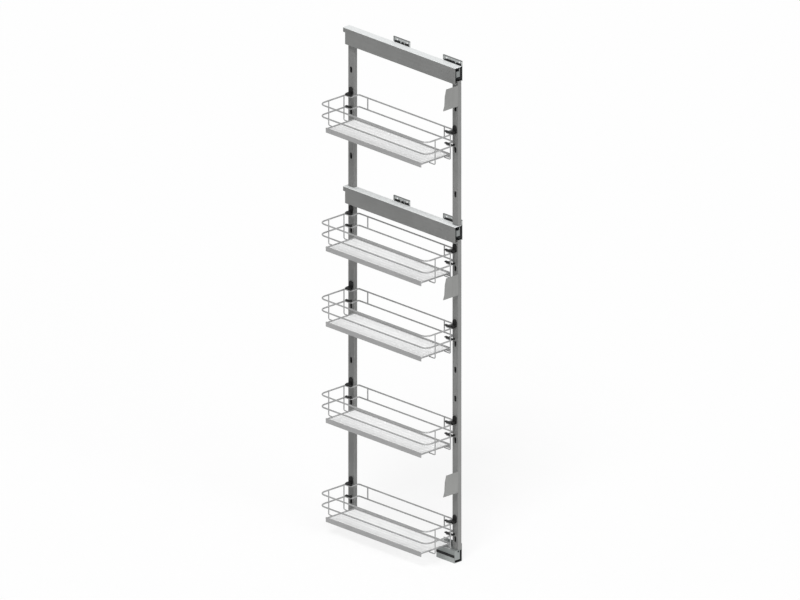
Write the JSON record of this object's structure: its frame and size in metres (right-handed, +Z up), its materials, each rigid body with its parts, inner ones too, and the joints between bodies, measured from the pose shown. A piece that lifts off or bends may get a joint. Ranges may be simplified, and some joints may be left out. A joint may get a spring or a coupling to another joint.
{
  "type": "pull out larder unit",
  "caption": "Tall pull-out larder frame on two telescopic side slides, with wire baskets on hooks, door plates and a roller guide at the foot.",
  "frame": {"origin": "on the cabinet wall plane, at the back face of the upper front wall bracket, midway between its two screw holes", "axes": "+X forwards, the way the frame pulls out; +Y into the cabinet side wall that carries the unit; +Z up"},
  "size_m": [0.5113, 0.155, 1.687],
  "materials": {
    "grey_steel": "smooth silver-grey powder coat",
    "plate_steel": "smooth grey coat, slightly lighter than the frame",
    "zinc_steel": "bright zinc plating on rolled sheet",
    "black_steel": "black coat, semi-gloss",
    "chrome_wire": "satin chrome on drawn wire",
    "white_shelf": "white, smooth, with low ribs along its length",
    "black_plastic": "moulded, fine grain",
    "grey_plastic": "moulded, smooth running face"
  },
  "bodies": {
    "cabinet_side": {"upper_slide_wall_member": "black_steel", "upper_front_wall_bracket": "zinc_steel", "upper_middle_wall_bracket": "zinc_steel", "lower_slide_wall_member": "black_steel", "lower_front_wall_bracket": "zinc_steel", "lower_middle_wall_bracket": "zinc_steel", "guide_channel": "zinc_steel", "guide_liner": "black_plastic"},
    "frame": {"upper_beam": "grey_steel", "lower_beam": "grey_steel", "upper_slide_frame_member": "black_steel", "lower_slide_frame_member": "black_steel", "upper_rear_upright": "grey_steel", "lower_rear_upright": "grey_steel", "upper_front_upright": "grey_steel", "lower_front_upright": "grey_steel", "door_plate_1": "plate_steel", "door_plate_2": "plate_steel", "door_plate_3": "plate_steel", "foot_plate": "zinc_steel", "guide_roller_pin": "zinc_steel", "rear_upright_end_cap": "black_plastic"},
    "upper_middle_member": {"upper_slide_middle_member": "zinc_steel"},
    "upper_outer_ball_cage": {"upper_slide_outer_ball_cage": "zinc_steel"},
    "upper_inner_ball_cage": {"upper_slide_inner_ball_cage": "zinc_steel"},
    "lower_middle_member": {"lower_slide_middle_member": "zinc_steel"},
    "lower_outer_ball_cage": {"lower_slide_outer_ball_cage": "zinc_steel"},
    "lower_inner_ball_cage": {"lower_slide_inner_ball_cage": "zinc_steel"},
    "guide_roller": {"guide_roller": "grey_plastic"},
    "basket_1": {"basket_1_frame": "chrome_wire", "basket_1_shelf": "white_shelf", "basket_1_rear_upper_hook": "black_plastic", "basket_1_rear_lower_hook": "black_plastic", "basket_1_front_upper_hook": "black_plastic", "basket_1_front_lower_hook": "black_plastic"},
    "basket_2": {"basket_2_frame": "chrome_wire", "basket_2_shelf": "white_shelf", "basket_2_rear_upper_hook": "black_plastic", "basket_2_rear_lower_hook": "black_plastic", "basket_2_front_upper_hook": "black_plastic", "basket_2_front_lower_hook": "black_plastic"},
    "basket_3": {"basket_3_frame": "chrome_wire", "basket_3_shelf": "white_shelf", "basket_3_rear_upper_hook": "black_plastic", "basket_3_rear_lower_hook": "black_plastic", "basket_3_front_upper_hook": "black_plastic", "basket_3_front_lower_hook": "black_plastic"},
    "basket_4": {"basket_4_frame": "chrome_wire", "basket_4_shelf": "white_shelf", "basket_4_rear_upper_hook": "black_plastic", "basket_4_rear_lower_hook": "black_plastic", "basket_4_front_upper_hook": "black_plastic", "basket_4_front_lower_hook": "black_plastic"},
    "basket_5": {"basket_5_frame": "chrome_wire", "basket_5_shelf": "white_shelf", "basket_5_rear_upper_hook": "black_plastic", "basket_5_rear_lower_hook": "black_plastic", "basket_5_front_upper_hook": "black_plastic", "basket_5_front_lower_hook": "black_plastic"}
  },
  "joints": [
    {"name": "frame_slide", "type": "slide", "parent": "cabinet_side", "child": "frame", "axis": [1, 0, 0], "range_m": [0, 0.45]},
    {"name": "upper_middle_member_slide", "type": "slide", "parent": "cabinet_side", "child": "upper_middle_member", "axis": [1, 0, 0], "range_m": [0, 0.225]},
    {"name": "upper_outer_ball_cage_slide", "type": "slide", "parent": "cabinet_side", "child": "upper_outer_ball_cage", "axis": [1, 0, 0], "range_m": [0, 0.1125]},
    {"name": "upper_inner_ball_cage_slide", "type": "slide", "parent": "cabinet_side", "child": "upper_inner_ball_cage", "axis": [1, 0, 0], "range_m": [0, 0.3375]},
    {"name": "lower_middle_member_slide", "type": "slide", "parent": "cabinet_side", "child": "lower_middle_member", "axis": [1, 0, 0], "range_m": [0, 0.225]},
    {"name": "lower_outer_ball_cage_slide", "type": "slide", "parent": "cabinet_side", "child": "lower_outer_ball_cage", "axis": [1, 0, 0], "range_m": [0, 0.1125]},
    {"name": "lower_inner_ball_cage_slide", "type": "slide", "parent": "cabinet_side", "child": "lower_inner_ball_cage", "axis": [1, 0, 0], "range_m": [0, 0.3375]},
    {"name": "guide_roller_spin", "type": "hinge", "parent": "frame", "child": "guide_roller", "pos_m": [-0.0205, -0.0178, -1.6573], "axis": [0, 0, 1], "continuous": true},
    {"name": "basket_1_lift", "type": "slide", "parent": "frame", "child": "basket_1", "axis": [0, 0, 1], "range_m": [0, 0.007]},
    {"name": "basket_2_lift", "type": "slide", "parent": "frame", "child": "basket_2", "axis": [0, 0, 1], "range_m": [0, 0.007]},
    {"name": "basket_3_lift", "type": "slide", "parent": "frame", "child": "basket_3", "axis": [0, 0, 1], "range_m": [0, 0.007]},
    {"name": "basket_4_lift", "type": "slide", "parent": "frame", "child": "basket_4", "axis": [0, 0, 1], "range_m": [0, 0.007]},
    {"name": "basket_5_lift", "type": "slide", "parent": "frame", "child": "basket_5", "axis": [0, 0, 1], "range_m": [0, 0.007]}
  ],
  "couplings": [
    {"joint": "upper_middle_member_slide", "follows": "frame_slide", "ratio": 0.5},
    {"joint": "upper_outer_ball_cage_slide", "follows": "frame_slide", "ratio": 0.25},
    {"joint": "upper_inner_ball_cage_slide", "follows": "frame_slide", "ratio": 0.75},
    {"joint": "lower_middle_member_slide", "follows": "frame_slide", "ratio": 0.5},
    {"joint": "lower_outer_ball_cage_slide", "follows": "frame_slide", "ratio": 0.25},
    {"joint": "lower_inner_ball_cage_slide", "follows": "frame_slide", "ratio": 0.75}
  ]
}
